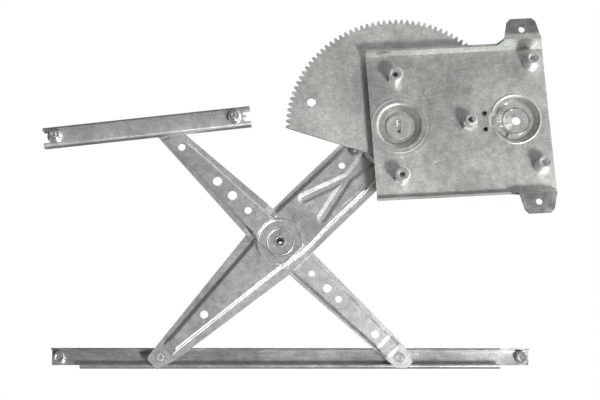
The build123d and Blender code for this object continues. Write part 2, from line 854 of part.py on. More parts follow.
def equalizer_front_arm():
    tip = half_arm + front_overhang
    step_start = front_disc_radius + front_step_start
    levels = [
        (-2 * front_disc_radius, front_pivot_front),
        (step_start, front_pivot_front),
        (step_start + front_step_length, front_arm_front),
        (tip + front_overhang, front_arm_front),
    ]
    flat_reach = 2 * front_disc_radius
    beyond_flat = Pos(front_disc_flat - flat_reach / 2, 0) * Rectangle(flat_reach, 2 * flat_reach)
    disc = Circle(front_disc_radius) - beyond_flat
    edge = rounded([
        (front_disc_radius - 2, -front_root_half_width),
        (half_arm, -front_tip_half_width - 1),
        (tip, -front_tip_half_width / 2),
        (tip, front_tip_half_width / 2),
        (half_arm, front_tip_half_width - 1),
        (front_disc_radius - 2, front_root_half_width),
    ], 3.0) + disc
    rim = slab(edge, front_arm_front - 1, front_pivot_back)
    rim &= lengthwise(levels, equalizer_depth - arm_sheet, equalizer_depth)
    web_end = half_arm - front_web_end_to_pin
    arm_web = make_face(Polyline(
        (0, front_web_root_right),
        (web_end, front_web_tip_right),
        (web_end, front_web_tip_left),
        (0, front_web_root_left),
        close=True))
    arm_back = front_arm_front + equalizer_depth
    arm_block = drafted(arm_web, front_arm_front, arm_back)
    arm_block = fillet(bent_edges(arm_block), arm_bend)
    arm_block -= rod(front_disc_radius, front_arm_front - 1, front_pivot_back)
    arm_hollow = drafted(offset(arm_web, -arm_sheet, kind=Kind.INTERSECTION), front_arm_front + arm_sheet, arm_back)
    arm_hollow -= rod(front_disc_radius + arm_sheet, front_arm_front - 1, front_pivot_back)
    pivot_web = Circle(front_disc_radius) & (Pos(5, 0) * Rectangle(60, 2 * front_pivot_web))
    pivot_web -= beyond_flat
    pivot_block = slab(pivot_web, front_pivot_front, front_pivot_back)
    pivot_hollow = slab(offset(pivot_web, -arm_sheet, kind=Kind.INTERSECTION),
                        front_pivot_front + arm_sheet, front_pivot_back)
    arm = rim + arm_block + pivot_block - arm_hollow - pivot_hollow
    for along, radius in front_holes + [(half_arm - front_end_hole_to_pin, front_end_hole_radius)]:
        arm -= rod(radius, front_arm_front - 1, front_arm_front + arm_sheet + 1, along)
    arm -= rod(cross_spigot_radius + rivet_clearance, front_pivot_front - 1, front_pivot_back + 1)
    arm -= rod(pin_radius + rivet_clearance, front_arm_front - 1, arm_back + 1, half_arm)
    arm = along_arm(arm, front_direction, pivot_x, pivot_z)
    for angle in stake_angles:
        mark = fan(stake_inner_radius, stake_outer_radius, angle - stake_spread / 2, angle + stake_spread / 2)
        arm -= Pos(pivot_x, 0, pivot_z) * slab(mark, front_pivot_front - 1, front_pivot_front + stake_depth)
    return arm


def equalizer_rear_arm():
    tip = half_arm + rear_overhang
    web_end = half_arm - rear_web_end_to_pin
    levels = [(-2 * rear_disc_radius, rear_arm_front), (tip + rear_overhang, rear_arm_front)]
    edge = rounded([
        (0, -rear_root_half_width),
        (half_arm + 4, -rear_tip_half_width + 1),
        (tip, -2),
        (tip, 5.5),
        (half_arm - 4, rear_tip_half_width + 1),
        (0, rear_root_half_width),
    ], 1.6) + Circle(rear_disc_radius)
    web = rounded([
        (0, -rear_web_root),
        (web_end, -rear_web_tip),
        (web_end, rear_web_tip),
        (0, rear_web_root),
    ], 4.0) + Circle(rear_disc_web)
    arm = pressing(web, edge, levels, rear_arm_depth, web_end, rear_ramp_length)
    for along, radius in rear_holes + [(half_arm - rear_end_hole_to_pin, rear_end_hole_radius)]:
        arm -= rod(radius, rear_arm_front - 1, rear_arm_front + arm_sheet + 1, along)
    arm -= rod(cross_spigot_radius + rivet_clearance, rear_arm_front - 1, rear_arm_back + 1)
    arm -= rod(pin_radius + rivet_clearance, rear_arm_front, rear_arm_back + 1, half_arm)
    return along_arm(arm, rear_direction, pivot_x, pivot_z)


# Cross pivot

def cross_pivot_hub():
    front = front_pivot_front + arm_sheet
    hub = rod(cross_hub_radius, front, rear_arm_front)
    hub += rod(cross_spigot_radius, front_pivot_front - spigot_proud, front)
    hub += rod(cross_spigot_radius, rear_arm_front, rear_arm_front + arm_sheet + spigot_proud)
    hub -= rod(cross_bore_radius, front_pivot_front - 2, rear_arm_back + 2)
    return Pos(pivot_x, 0, pivot_z) * hub


def cross_pivot_bush():
    inner = cross_hub_radius + bearing_clearance
    front = front_pivot_front + arm_sheet + axial_gap
    web_back = cross_front + arm_sheet
    bush = rod(inner + cross_bush_wall, front, cross_back)
    bush += rod(cross_bush_flange_radius, web_back, web_back + cross_bush_flange)
    return Pos(pivot_x, 0, pivot_z) * (bush - rod(inner, front - 1, cross_back + 1))


# Rollers and pins

def roller(front, x, z):
    profile = [
        (pin_radius + bearing_clearance, front),
        (roller_radius - roller_rim, front),
        (roller_radius, front + roller_rim),
        (roller_radius, front + roller_width - roller_rim),
        (roller_radius - roller_rim, front + roller_width),
        (pin_radius + bearing_clearance, front + roller_width),
    ]
    return Pos(x, 0, z) * turned(profile)


def dimple(front):
    """The hollow in a pin's riveted end."""
    return turned([(0, front), (pin_dimple_radius, front), (pin_dimple_radius / 2, front + pin_dimple_depth),
                   (0, front + pin_dimple_depth)])


def rear_pin(arm_front_face, x, z):
    """A shouldered pin riveted in an arm's tip, reaching into the lift rail behind it."""
    shoulder_front = arm_front_face + arm_sheet
    shoulder_back = lift_roller_front - axial_gap / 2
    end_front = lift_roller_front + roller_width + axial_gap / 2
    pin = rod(pin_radius, arm_front_face, end_front)
    pin += rod(pin_head_radius, arm_front_face - pin_head_height, arm_front_face)
    pin += rod(pin_shoulder_radius, shoulder_front, shoulder_back)
    pin += rod(pin_end_radius, end_front, end_front + pin_end_height)
    return Pos(x, 0, z) * (pin - dimple(arm_front_face - pin_head_height))


def guide_pin():
    """A shouldered pin riveted in the front arm's tip, reaching into the guide rail in front of it."""
    web_back = front_arm_front + equalizer_depth
    shoulder_back = web_back - arm_sheet
    shoulder_front = guide_roller_front + roller_width + axial_gap / 2
    end_back = guide_roller_front - axial_gap / 2
    pin = rod(pin_radius, end_back, web_back)
    pin += rod(pin_shoulder_radius, shoulder_front, shoulder_back)
    pin += rod(pin_head_radius, web_back, web_back + pin_head_height)
    pin += rod(pin_end_radius, end_back - pin_end_height, end_back)
    return Pos(guide_x, 0, 0) * pin


lift_roller_front = lift_rail_front + rail_sheet + roller_to_lip
guide_roller_front = guide_rail_back - rail_sheet - roller_to_lip - roller_width


# Rails

def channel(length_left, length_right, web_front, web_back, lip_front, lip_back):
    """A lipped channel along X with rounded bends, whose web and lips face each other along Y."""
    low = min(web_front, lip_front)
    high = max(web_back, lip_back)
    depth = high - low
    section = RectangleRounded(depth, 2 * rail_half_width, rail_bend)
    inside = RectangleRounded(depth - 2 * rail_sheet, 2 * (rail_half_width - rail_sheet), rail_bend - rail_sheet)
    mouth_shift = depth / 2 if lip_front > web_front else -depth / 2
    mouth = Pos(mouth_shift, 0) * Rectangle(4 * rail_sheet, 2 * (rail_half_width - rail_lip))
    profile = Pos((high + low) / 2, 0) * (section - inside - mouth)
    return extrude(Plane.YZ.offset(-length_left) * profile, length_left + length_right)


def lift_rail():
    """The channel of the glass, cut back at both ends to a tab that is its web and upper wall."""
    rail = channel(lift_rail_left + lift_tab_length, lift_rail_right + lift_tab_length,
                   lift_rail_back - rail_sheet, lift_rail_back, lift_rail_front, lift_rail_front + rail_sheet)
    for x in (-lift_rail_left - lift_tab_length, lift_rail_right + lift_tab_length):
        lips = Pos(x, 0) * Rectangle(2 * lift_tab_length, 4 * rail_half_width)
        rail -= slab(lips, lift_rail_front - 1, lift_rail_front + rail_bend)
        below = Pos(x, lift_tab_bottom - rail_half_width) * Rectangle(2 * lift_tab_length, 2 * rail_half_width)
        rail -= slab(below, lift_rail_front - 1, lift_rail_back + 1)
    for x in lift_bolt_places:
        rail -= rod(bolt_shoulder_radius + bolt_clearance, lift_rail_front, lift_rail_back + 1, x, lift_bolt_rise)
    return Pos(0, 0, lift_rail_z) * rail


lift_bolt_places = [-lift_rail_left - rail_bolt_inset, lift_rail_right + rail_bolt_inset]


def lift_rail_bolt(x):
    seat = lift_rail_back - rail_sheet
    bolt = rod(bolt_flange_radius, seat - bolt_flange_height, seat)
    bolt += hexagon(bolt_hex, seat - bolt_head_height, seat - bolt_flange_height)
    bolt += rod(bolt_shoulder_radius, seat, lift_rail_back)
    bolt += rod(bolt_radius, lift_rail_back, lift_rail_back + bolt_length)
    return Pos(x, 0, lift_rail_z + lift_bolt_rise) * bolt


def guide_rail():
    rail = channel(guide_rail_left, guide_rail_right, guide_rail_front, guide_rail_front + rail_sheet,
                   guide_rail_back - rail_sheet, guide_rail_back)
    notch = RectangleRounded(2 * guide_notch_depth, 2 * guide_notch_half_height, guide_notch_corner)
    for x in (-guide_rail_left, guide_rail_right):
        rail -= slab(Pos(x, 0) * notch, guide_rail_front - 1, guide_rail_front + rail_sheet + 1)
    nib_root = guide_rail_right - guide_notch_depth - 1
    nib = Pos(nib_root + guide_nib_length / 2, 0) * Rectangle(guide_nib_length + 2, guide_nib_height)
    rail += slab(nib, guide_rail_front, guide_rail_front + rail_sheet)
    for x in guide_stud_places:
        rail -= rod(bolt_radius + rivet_clearance, guide_rail_front - 1, guide_rail_front + rail_sheet + 1, x)
    return on_guide(rail)


guide_stud_places = [-guide_stud_left, guide_stud_right]


def on_guide(solid):
    return along_arm(solid, rail_tilt, guide_x, 0)


def guide_rail_stud(x):
    seat = guide_rail_front + rail_sheet
    stud = rod(stud_head_radius, seat, seat + stud_head_height, x)
    return on_guide(stud + rod(bolt_radius, guide_rail_front - stud_length, seat, x))


def guide_rail_nut(x):
    seat = guide_rail_front
    nut = rod(nut_flange_radius, seat - bolt_flange_height, seat, x)
    nut += hexagon(bolt_hex, seat - nut_height, seat - bolt_flange_height, x)
    return on_guide(nut - rod(bolt_radius + rivet_clearance, seat - nut_height - 1, seat + 1, x))


def parts():
    """Every node by name: one solid, or a list of alike solids."""
    sleeve = hub_radius + bearing_clearance
    seat = cup_back
    rear_tip = rear_arm_back - arm_sheet
    lift_tip = cross_back - arm_sheet
    return {
        "base_plate": base_plate(),
        "pivot_hub": pivot_hub(),
        "door_standoffs": [door_standoff(x, z) for x, z in door_places],
        "motor_standoff_middle": motor_hex_standoff(*motor_hex_place),
        "motor_standoffs_outer": [motor_cone_standoff(x, z) for x, z in cone_places],
        "thrust_washer": ring(washer_radius, sleeve, seat, washer_back),
        "hub_retainer": ring(retainer_radius, hub_tail_radius + rivet_clearance,
                             lift_web_back + axial_gap / 2, lift_web_back + axial_gap / 2 + retainer_sheet),
        "lift_arm": lift_arm(),
        "sector_gear": sector_gear(),
        "sector_rivets": [sector_rivet(angle) for angle in sector_rivet_angles],
        "sector_bush": flanged_bush(sleeve, sector_front, sector_back + bush_flange,
                                    sector_back, sector_back + bush_flange),
        "lift_arm_bush": flanged_bush(sleeve, lift_front - bush_flange, lift_web_back,
                                      lift_front - bush_flange, lift_front),
        "cross_pivot_bush": cross_pivot_bush(),
        "counterbalance_spring": counterbalance_spring(),
        "lift_roller_pin": rear_pin(lift_tip, guide_x, lift_rail_z),
        "lift_roller": roller(lift_roller_front, guide_x, lift_rail_z),
        "equalizer_front_arm": equalizer_front_arm(),
        "equalizer_rear_arm": equalizer_rear_arm(),
        "cross_pivot_hub": cross_pivot_hub(),
        "guide_roller_pin": guide_pin(),
        "rail_roller_pin": rear_pin(rear_tip, 0, lift_rail_z),
        "guide_roller": roller(guide_roller_front, guide_x, 0),
        "rail_roller": roller(lift_roller_front, 0, lift_rail_z),
        "lift_rail": lift_rail(),
        "lift_rail_bolts": [lift_rail_bolt(x) for x in lift_bolt_places],
        "guide_rail": guide_rail(),
        "guide_rail_studs": [guide_rail_stud(x) for x in guide_stud_places],
        "guide_rail_nuts": [guide_rail_nut(x) for x in guide_stud_places],
    }


def main():
    os.makedirs("parts", exist_ok=True)
    for name, shape in parts().items():
        solids = shape if isinstance(shape, list) else [shape]
        node = Compound(children=[solid for item in solids for solid in item.solids()])
        export_step(node, "parts/" + name + ".step")


main()
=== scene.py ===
import math

import bmesh
import bpy
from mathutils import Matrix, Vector


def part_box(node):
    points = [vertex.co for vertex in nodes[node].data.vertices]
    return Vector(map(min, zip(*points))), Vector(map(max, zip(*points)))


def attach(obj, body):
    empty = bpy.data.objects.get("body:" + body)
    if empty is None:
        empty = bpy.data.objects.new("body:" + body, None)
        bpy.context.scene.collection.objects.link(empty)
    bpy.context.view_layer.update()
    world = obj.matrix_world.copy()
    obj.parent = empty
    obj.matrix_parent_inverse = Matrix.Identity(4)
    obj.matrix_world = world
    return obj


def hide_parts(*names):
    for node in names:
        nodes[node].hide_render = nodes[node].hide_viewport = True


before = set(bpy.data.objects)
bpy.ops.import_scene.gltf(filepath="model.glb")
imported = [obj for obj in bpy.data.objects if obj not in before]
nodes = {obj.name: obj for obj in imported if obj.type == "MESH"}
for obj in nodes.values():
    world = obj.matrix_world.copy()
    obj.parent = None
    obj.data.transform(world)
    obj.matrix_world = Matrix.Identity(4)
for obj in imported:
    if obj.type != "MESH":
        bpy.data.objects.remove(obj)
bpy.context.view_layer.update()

# Camera: the photograph's low viewing angle
CAMERA_PLACE = (-0.09015, -1.22350, -0.28997)
CAMERA_TILT = 100.1
CAMERA_LENS = 84.0

# Angles of the mechanism at rest, in degrees
PLATE_TILT = 2.9
GUIDE_TILT = 6.3
ARM_ANGLE = 43.9

# Tints that a grey value is multiplied by
NEUTRAL = (1.0, 1.0, 1.0)
COOL = (0.985, 1.0, 0.985)
PASSIVATED = (0.975, 1.0, 0.945)
WARM = (1.0, 0.90, 0.66)
IVORY = (1.0, 0.98, 0.92)


def axis_of(node):
    """Where the middle line of a turned CAD node lies (x, z), in metres."""
    low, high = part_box(node)
    return ((low.x + high.x) / 2, (low.z + high.z) / 2)


def on_plate(x, z):
    """A place (x, z) in metres, given in millimetres along the plate's own edges."""
    tilt = math.radians(PLATE_TILT)
    return (0.001 * (x * math.cos(tilt) - z * math.sin(tilt)),
            0.001 * (x * math.sin(tilt) + z * math.cos(tilt)))


HUB = (0.0, 0.0)
CROSS_PIVOT = axis_of("cross_pivot_hub")
GUIDE_PIN = axis_of("guide_roller_pin")
LIFT_RAIL_MIDDLE = (0.0, -0.2070)
PINION = on_plate(107.5, 0.0)


def add_camera():
    data = bpy.data.cameras.new("camera")
    data.lens = CAMERA_LENS
    data.sensor_width = 36.0
    data.clip_start = 0.05
    camera = bpy.data.objects.new("camera", data)
    camera.location = CAMERA_PLACE
    camera.rotation_euler = (math.radians(CAMERA_TILT), 0, 0)
    bpy.context.scene.collection.objects.link(camera)
    bpy.context.scene.camera = camera


# Materials

class Shader:
    """Builds one material's nodes with short calls."""

    def __init__(self, name):
        self.material = bpy.data.materials.new(name)
        self.material.use_nodes = True
        self.tree = self.material.node_tree
        self.tree.nodes.clear()
        self.output = self.tree.nodes.new("ShaderNodeOutputMaterial")
        self.surface = self.tree.nodes.new("ShaderNodeBsdfPrincipled")
        self.link(self.surface.outputs["BSDF"], self.output.inputs["Surface"])
        self.coords = self.tree.nodes.new("ShaderNodeTexCoord").outputs["Object"]

    def link(self, out, into):
        self.tree.links.new(out, into)

    def node(self, kind, inputs=(), **settings):
        """A new node: an input is linked where its value is a socket, and set where it isn't."""
        made = self.tree.nodes.new(kind)
        for key, value in settings.items():
            setattr(made, key, value)
        for key, value in dict(inputs).items():
            if isinstance(value, bpy.types.NodeSocket):
                self.link(value, made.inputs[key])
            else:
                made.inputs[key].default_value = value
        return made

    # Numbers

    def maths(self, operation, a, b=0.0):
        return self.node("ShaderNodeMath", {0: a, 1: b}, operation=operation).outputs["Value"]

    def plus(self, a, b):
        return self.maths("ADD", a, b)

    def minus(self, a, b):
        return self.maths("SUBTRACT", a, b)

    def times(self, a, b):
        return self.maths("MULTIPLY", a, b)

    def size_of(self, value):
        return self.maths("ABSOLUTE", value)

    def span(self, value, low, high, to_low, to_high, step="LINEAR"):
        """Maps low to high onto two other numbers, and holds these outside."""
        made = self.node("ShaderNodeMapRange", {"Value": value, "From Min": low, "From Max": high,
                                                "To Min": to_low, "To Max": to_high},
                         interpolation_type=step)
        return made.outputs["Result"]

    def varied(self, value, field, low, high, least, most):
        """A value times a factor that follows a field."""
        return self.times(value, self.span(field, low, high, least, most))

    def band(self, value, low, high, fade):
        """1 from low to high, fading to 0 over a distance outside them."""
        rise = self.span(value, low - fade, low, 0.0, 1.0)
        fall = self.span(value, high, high + fade, 1.0, 0.0)
        return self.times(rise, fall)

    def ridge(self, value, middle, width, height):
        """A rounded ridge where a value passes its middle."""
        off = self.size_of(self.minus(value, middle))
        return self.span(off, 0.0, width / 2, height, 0.0, "SMOOTHSTEP")

    # Places on the object, in metres

    def stretched(self, scale, turn):
        """The object's coordinates, stretched and turned by angles in degrees."""
        mapping = self.node("ShaderNodeMapping", {"Vector": self.coords})
        mapping.inputs["Scale"].default_value = scale
        mapping.inputs["Rotation"].default_value = [math.radians(angle) for angle in turn]
        return mapping.outputs["Vector"]

    def distance(self, place):
        """How far a point lies from an axis along Y through a place (x, z)."""
        flat = self.node("ShaderNodeVectorMath", {0: self.coords, 1: (1.0, 0.0, 1.0)},
                         operation="MULTIPLY")
        centre = (place[0], 0.0, place[1])
        made = self.node("ShaderNodeVectorMath", {0: flat.outputs["Vector"], 1: centre},
                         operation="DISTANCE")
        return made.outputs["Value"]

    def along(self, place, direction):
        """How far a point lies from a place (x, z) in a direction given in degrees."""
        turn = math.radians(direction)
        way = (math.cos(turn), 0.0, math.sin(turn))
        made = self.node("ShaderNodeVectorMath", {0: self.coords, 1: way}, operation="DOT_PRODUCT")
        return self.minus(made.outputs["Value"], place[0] * way[0] + place[1] * way[2])

    def from_middle(self, place, direction):
        """How far a point lies, to either side, from a line through a place."""
        return self.size_of(self.along(place, direction + 90))

    # Patterns

    def noise(self, scale, detail, roughness, vector=None):
        made = self.node("ShaderNodeTexNoise", {"Vector": vector or self.coords, "Scale": scale,
                                                "Detail": detail, "Roughness": roughness})
        return made.outputs["Fac"]

    def spots(self, scale):
        made = self.node("ShaderNodeTexVoronoi", {"Vector": self.coords, "Scale": scale})
        return made.outputs["Distance"]

    def scratches(self, turn, scale, reach):
        """1 on fine scratches that lie about one way and only here and there, 0 elsewhere."""
        lines = self.noise(scale, 2.0, 0.5, self.stretched((1.0, 1.0, reach), (0, turn, 0)))
        where = self.noise(30.0, 2.0, 0.5, self.stretched((1.0, 1.0, 1.0), (0, turn, 40)))
        thin = self.ridge(lines, 0.5, 0.028, 1.0)
        return self.times(thin, self.span(where, 0.48, 0.60, 0.0, 1.0))

    def rings(self, circles):
        """The height of pressed rings: (place, radius, width, height) each."""
        total = None
        for place, radius, width, height in circles:
            ring = self.ridge(self.distance(place), radius, width, height)
            total = ring if total is None else self.plus(total, ring)
        return total

    # What the surface gets

    def colour(self, value, tint):
        """Colours the surface by a grey value times a tint."""
        made = self.node("ShaderNodeVectorMath", {0: tint, "Scale": value}, operation="SCALE")
        self.link(made.outputs["Vector"], self.surface.inputs["Base Color"])

    def roughness(self, value):
        self.link(value, self.surface.inputs["Roughness"])

    def bump(self, height, strength=1.0, distance=1.0):
        """Tilts the surface's light. A height is in metres where both numbers are 1."""
        made = self.node("ShaderNodeBump", {"Height": height, "Strength": strength,
                                            "Distance": distance})
        self.link(made.outputs["Normal"], self.surface.inputs["Normal"])

    def set(self, socket, value):
        self.surface.inputs[socket].default_value = value


class SheetSteel(Shader):
    """Zinc plated sheet: cloudy and mottled, with rolling lines, specks and scratches."""

    MOTTLE_HEIGHT = 0.00005
    GRAIN_HEIGHT = 0.00002
    LINE_HEIGHT = 0.0001
    FADE = 0.001

    def __init__(self, name, level, spread, tint, roughness, rolled, brush):
        """rolled is the direction of the rolling lines in degrees, and brush their strength."""
        super().__init__(name)
        self.tint = tint
        clouds = self.noise(24.0, 5.0, 0.6)
        drift = self.noise(7.0, 3.0, 0.5)
        mottle = self.noise(150.0, 4.0, 0.65)
        grain = self.noise(520.0, 2.0, 0.6)
        lines = self.noise(70.0, 4.0, 0.6, self.stretched((1.0, 1.0, 18.0), (0, rolled, 0)))
        one_way = self.scratches(rolled + 25, 60.0, 14.0)
        other_way = self.scratches(rolled - 40, 45.0, 16.0)
        self.scratch = self.maths("MAXIMUM", one_way, other_way)

        value = self.span(clouds, 0.3, 0.7, level * (1 - spread), level * (1 + spread))
        value = self.varied(value, drift, 0.35, 0.65, 1 - spread, 1 + spread)
        value = self.varied(value, mottle, 0.3, 0.7, 0.86, 1.14)
        value = self.varied(value, grain, 0.25, 0.75, 0.84, 1.16)
        value = self.varied(value, lines, 0.25, 0.75, 1 - brush / 2, 1 + brush / 2)
        value = self.varied(value, self.spots(240.0), 0.03, 0.14, 0.72, 1.0)
        self.value = self.plus(value, self.times(self.scratch, 0.30))

        rough = self.span(clouds, 0.3, 0.7, roughness - 0.04, roughness + 0.05)
        self.rough = self.plus(rough, self.span(mottle, 0.3, 0.7, -0.03, 0.03))

        height = self.plus(self.times(mottle, self.MOTTLE_HEIGHT),
                           self.times(grain, self.GRAIN_HEIGHT))
        self.height = self.plus(height, self.times(lines, brush * self.LINE_HEIGHT))

    def raised(self, height):
        """Adds a relief, in metres."""
        self.height = self.plus(self.height, height)

    def from_front(self, height):
        """The height as it is on faces that look forward, turned over on those that look back."""
        facing = self.tree.nodes.new("ShaderNodeTexCoord").outputs["Normal"]
        back = self.maths("SIGN", self.node("ShaderNodeSeparateXYZ", {0: facing}).outputs["Y"])
        return self.times(height, self.times(back, -1.0))

    def press_rings(self, circles):
        self.raised(self.rings(circles))

    def round_web(self, place, direction, strength):
        """Rounds a rail's web slightly across its width."""
        across = self.along(place, direction)
        self.raised(self.from_front(self.times(self.times(across, across), -strength)))

    def soften_crank(self, place, direction, start, end, drop, reach, outer, crown=0.0):
        """Turns a sharp crank between two distances into a smooth one.

        It reaches out to both sides of the arm's middle line, and a crown makes its slope round."""
        along = self.along(place, direction)
        across = self.from_middle(place, direction)
        sharp = self.span(along, start, end, 0.0, drop)
        smooth = self.span(along, start - reach, end + reach, 0.0, drop, "SMOOTHSTEP")
        height = self.minus(sharp, smooth)
        if crown:
            slope = self.ridge(along, (start + end) / 2, end - start + 2 * reach, crown)
            bow = self.maths("POWER", self.maths("DIVIDE", across, outer), 2.0)
            height = self.minus(height, self.times(bow, slope))
        here = self.maths("LESS_THAN", across, outer)
        self.raised(self.times(self.from_front(height), here))

    def paint_shade_on_slope(self, place, direction, start, end, inner, outer, loss):
        """Paints shade on a crank's slope between two distances from the middle line: its colour is made
        darker, to hold down the lamps' glare there, and it is made rougher.
        """
        zone = self.times(self.band(self.along(place, direction), start, end, self.FADE),
                          self.band(self.from_middle(place, direction), inner, outer, self.FADE))
        # Painted shade: the slope's colour is darkened
        self.value = self.times(self.value, self.span(zone, 0.0, 1.0, 1.0, 1 - loss))
        self.rough = self.plus(self.rough, self.times(zone, 0.22))

    def darken_ends(self, place, direction, low, high):
        """Makes the sheet darker, in a mottle, beyond two distances along a direction."""
        fade = 2 * self.FADE
        up = self.along(place, direction)
        above = self.span(up, high, high + fade, 0.0, 1.0)
        below = self.span(up, low, low - fade, 0.0, 1.0)
        darkening = self.span(self.noise(95.0, 5.0, 0.7), 0.35, 0.65, 0.66, 0.30)
        loss = self.times(self.maths("MAXIMUM", above, below), darkening)
        self.value = self.times(self.value, self.minus(1.0, loss))

    def streak(self, place, reach, direction, depth):
        """Draws deep streaks round a place, as where a tongue is drawn out of the sheet, and brightens
        them there with a painted highlight.
        """
        where = self.span(self.distance(place), reach * 0.7, reach * 1.2, 1.0, 0.0)
        streaks = self.noise(260.0, 3.0, 0.6, self.stretched((0.16, 1.0, 1.0), (0, direction, 0)))
        # Painted highlight: the streaks' colour is raised, for the light on the tongue
        painted_highlight = self.span(streaks, 0.35, 0.65, -0.05, 0.275)
        self.value = self.plus(self.value, self.times(where, painted_highlight))
        self.raised(self.times(self.times(where, streaks), depth))

    def made(self):
        """The finished material, smoother where it is scratched."""
        self.colour(self.value, self.tint)
        self.roughness(self.minus(self.rough, self.times(self.scratch, 0.15)))
        self.bump(self.height)
        self.set("Metallic", 0.85)
        return self.material


PLATE_RINGS = [
    (HUB, 0.0250, 0.0024, 0.00014),
    (HUB, 0.0292, 0.0016, 0.00008),
    (on_plate(29.2, 29.6), 0.0047, 0.0012, 0.00005),
    (on_plate(28.8, -31.0), 0.0047, 0.0012, 0.00005),
    (on_plate(-17.0, -45.2), 0.0047, 0.0012, 0.00005),
    (PINION, 0.0120, 0.0024, 0.00090),
    (on_plate(106.3, 0.8), 0.0224, 0.0026, 0.00030),
]
HUB_RINGS = [
    (HUB, 0.0125, 0.0016, 0.00014),
    (HUB, 0.0090, 0.0010, 0.00006),
]
PIVOT_RINGS = [
    (CROSS_PIVOT, 0.0120, 0.0018, 0.00050),
    (CROSS_PIVOT, 0.0200, 0.0014, 0.00020),
    (CROSS_PIVOT, 0.0046, 0.0014, 0.00060),
]


def plate_steel():
    """The base plate's steel, with darker, mottled tabs and, beside the pinion's place, a streaked tongue
    whose streaks carry a painted highlight.
    """
    steel = SheetSteel("plate_steel", 0.585, 0.10, PASSIVATED, 0.45, rolled=87.0, brush=0.06)
    steel.darken_ends(HUB, 90 + PLATE_TILT, low=-0.0690, high=0.0745)
    steel.press_rings(PLATE_RINGS)
    steel.streak(on_plate(95.0, 1.0), reach=0.0085, direction=25.0, depth=0.0012)
    return steel.made()


def sector_steel():
    return SheetSteel("sector_steel", 0.70, 0.11, PASSIVATED, 0.50, rolled=20.0, brush=0.22).made()


def lift_arm_steel():
    steel = SheetSteel("arm_steel", 0.64, 0.06, NEUTRAL, 0.44, rolled=46.0, brush=0.08)
    steel.soften_crank(HUB, 180 + ARM_ANGLE, start=0.1130, end=0.1250, drop=0.0035,
                       reach=0.008, outer=0.040)
    return steel.made()


def front_arm_steel():
    steel = SheetSteel("front_arm_steel", 0.66, 0.06, COOL, 0.42, rolled=-46.0, brush=0.08)
    steel.paint_shade_on_slope(CROSS_PIVOT, 180 - ARM_ANGLE, start=0.0236, end=0.0316,
                     inner=0.0115, outer=0.030, loss=0.60)
    steel.press_rings(PIVOT_RINGS)
    return steel.made()


def rear_arm_steel():
    steel = SheetSteel("rear_arm_steel", 0.66, 0.06, COOL, 0.46, rolled=-46.0, brush=0.08)
    steel.paint_shade_on_slope(CROSS_PIVOT, -ARM_ANGLE, start=0.1320, end=0.1410,
                     inner=0.0, outer=0.0095, loss=0.45)
    steel.soften_crank(CROSS_PIVOT, -ARM_ANGLE, start=0.1320, end=0.1410, drop=0.0040,
                       reach=0.004, outer=0.0086, crown=0.0014)
    return steel.made()


def lift_rail_steel():
    steel = SheetSteel("lift_rail_steel", 0.49, 0.14, COOL, 0.38, rolled=90.0, brush=0.44)
    steel.round_web(LIFT_RAIL_MIDDLE, 90, -5.0)
    return steel.made()


def guide_rail_steel():
    steel = SheetSteel("guide_rail_steel", 0.80, 0.08, COOL, 0.42, rolled=84.0, brush=0.16)
    steel.round_web(GUIDE_PIN, 90 + GUIDE_TILT, 7.0)
    return steel.made()


def turned_metal(name, level, tint, roughness, metallic=1.0):
    """Machined or cold-headed metal with fine grain and a little staining."""
    s = Shader(name)
    stains = s.noise(90.0, 5.0, 0.6)
    grain = s.noise(900.0, 2.0, 0.6)
    value = s.span(stains, 0.3, 0.7, level * 0.88, level * 1.1)
    s.colour(s.varied(value, grain, 0.2, 0.8, 0.95, 1.05), tint)
    s.roughness(s.span(stains, 0.3, 0.7, roughness - 0.05, roughness + 0.08))
    s.bump(grain, 0.05, 0.0001)
    s.set("Metallic", metallic)
    return s.material


def hub_steel():
    """The hub's head: dull zinc like the plate's, with a painted highlight inside its slot, where its
    colour is near white.
    """
    level = 0.60
    roughness = 0.46
    slot_half_width = 0.0022
    slot_low = -0.0032
    slot_high = 0.0020
    slot_front = 0.02235
    s = Shader("hub_steel")
    stains = s.noise(110.0, 5.0, 0.6)
    grain = s.noise(600.0, 2.0, 0.6)
    value = s.span(stains, 0.3, 0.7, level * 0.86, level * 1.12)
    value = s.varied(value, grain, 0.25, 0.75, 0.88, 1.12)
    place = s.node("ShaderNodeSeparateXYZ", {0: s.coords}).outputs
    # Painted highlight: the slot's colour is raised near white, in place of the light seen in it
    painted_slot_highlight = s.maths("LESS_THAN", s.size_of(place["X"]), slot_half_width)
    painted_slot_highlight = s.varied(painted_slot_highlight, place["Z"], slot_low, slot_high, 0.0, 1.0)
    painted_slot_highlight = s.times(painted_slot_highlight, s.maths("GREATER_THAN", place["Y"], slot_front))
    s.colour(s.maths("MAXIMUM", value, s.times(painted_slot_highlight, 0.95)), PASSIVATED)
    s.roughness(s.span(stains, 0.3, 0.7, roughness - 0.05, roughness + 0.06))
    s.bump(s.plus(s.times(grain, 0.00002), s.rings(HUB_RINGS)))
    s.set("Metallic", 0.7)
    return s.material


def roller_nylon():
    level = 0.78
    s = Shader("roller_nylon")
    clouds = s.noise(140.0, 4.0, 0.55)
    s.colour(s.span(clouds, 0.3, 0.7, level * 0.93, level * 1.05), IVORY)
    s.roughness(s.span(clouds, 0.3, 0.7, 0.38, 0.5))
    s.bump(s.noise(1600.0, 2.0, 0.5), 0.1, 0.0001)
    s.set("Metallic", 0.0)
    return s.material


